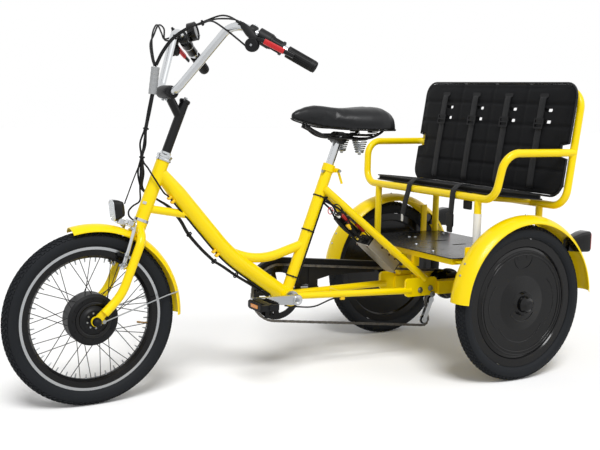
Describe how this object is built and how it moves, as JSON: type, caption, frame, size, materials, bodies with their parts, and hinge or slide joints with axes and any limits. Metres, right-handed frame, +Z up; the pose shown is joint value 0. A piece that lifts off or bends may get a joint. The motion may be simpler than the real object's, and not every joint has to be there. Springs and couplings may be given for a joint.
{
  "type": "electric tricycle",
  "caption": "Yellow electric tricycle with a low frame, front hub motor, swept handlebar, load bed and a padded rear passenger bench between disc wheels.",
  "frame": {"origin": "on the floor, under the middle of the whole vehicle's box", "axes": "-X to the nose, -Y to the vehicle's left side, +Z up"},
  "size_m": [1.8603, 0.84, 1.1321],
  "materials": {
    "yellow_paint": "gloss powder coat",
    "black_paint": "satin black paint",
    "black_plastic": "moulded, fine grain",
    "gloss_black_plastic": "moulded, polished",
    "red_lens": "clear moulded red",
    "chrome": "bright plated",
    "aluminium": "polished and satin",
    "steel": "oiled or zinc plated",
    "tyre_rubber": "moulded tread",
    "soft_rubber": "soft grip and cable sheath",
    "saddle_cover": "smooth synthetic cover",
    "black_cloth": "woven polyester over foam"
  },
  "bodies": {
    "frame": {"main_frame": "yellow_paint", "rear_stays": "yellow_paint", "axle_carrier": "yellow_paint", "headset_cups": "chrome", "bottom_bracket_cups": "aluminium", "bed_frame": "yellow_paint", "bed_plate": "black_paint", "bench_frame": "yellow_paint", "seat_pad": "black_cloth", "back_pad": "black_cloth", "harness": "black_cloth", "lap_buckles": "black_plastic", "fender_rear_left": "yellow_paint", "fender_rear_right": "yellow_paint", "rear_lamps": "gloss_black_plastic", "rear_lenses": "red_lens", "seat_collar": "yellow_paint", "seat_post": "chrome", "saddle_frame": "steel", "saddle": "saddle_cover", "rear_drive": "black_paint", "derailleur": "aluminium", "chain": "steel", "chain_guard": "black_plastic", "controller": "aluminium", "wiring_pouch": "black_cloth", "frame_cables": "soft_rubber"},
    "steering": {"fork": "yellow_paint", "front_axle": "steel", "headset_locknut": "chrome", "stem": "black_paint", "handlebar": "aluminium", "grips": "soft_rubber", "brake_levers": "black_plastic", "twist_shifter": "black_plastic", "display": "gloss_black_plastic", "headlamp": "gloss_black_plastic", "front_fender": "yellow_paint", "fender_stays": "steel", "front_brake": "aluminium", "bar_cables": "soft_rubber"},
    "front_wheel": {"tyre_front": "tyre_rubber", "rim_front": "black_paint", "spokes_front": "steel", "hub_motor": "black_paint"},
    "rear_wheel_left": {"tyre_rear_left": "tyre_rubber", "disc_rear_left": "gloss_black_plastic", "shaft_rear_left": "steel"},
    "rear_wheel_right": {"tyre_rear_right": "tyre_rubber", "disc_rear_right": "gloss_black_plastic", "shaft_rear_right": "steel"},
    "crank": {"crank_arms": "aluminium", "chainring": "black_paint"},
    "left_pedal": {"pedal_left": "black_plastic"},
    "right_pedal": {"pedal_right": "black_plastic"}
  },
  "joints": [
    {"name": "steering_turn", "type": "hinge", "parent": "frame", "child": "steering", "pos_m": [-0.63515, 0, 0.23924], "axis": [0.3665, 0, 0.9304], "range_deg": [-40, 40]},
    {"name": "front_wheel_spin", "type": "hinge", "parent": "steering", "child": "front_wheel", "pos_m": [-0.67515, 0, 0.255], "axis": [0, 1, 0], "continuous": true},
    {"name": "rear_left_spin", "type": "hinge", "parent": "frame", "child": "rear_wheel_left", "pos_m": [0.63185, -0.367, 0.255], "axis": [0, 1, 0], "continuous": true},
    {"name": "rear_right_spin", "type": "hinge", "parent": "frame", "child": "rear_wheel_right", "pos_m": [0.63185, 0.367, 0.255], "axis": [0, 1, 0], "continuous": true},
    {"name": "crank_spin", "type": "hinge", "parent": "frame", "child": "crank", "pos_m": [-0.02815, 0, 0.266], "axis": [0, 1, 0], "continuous": true},
    {"name": "left_pedal_spin", "type": "hinge", "parent": "crank", "child": "left_pedal", "pos_m": [-0.17995, -0.133, 0.27396], "axis": [0, 1, 0], "continuous": true},
    {"name": "right_pedal_spin", "type": "hinge", "parent": "crank", "child": "right_pedal", "pos_m": [0.12364, 0.133, 0.25805], "axis": [0, 1, 0], "continuous": true}
  ]
}
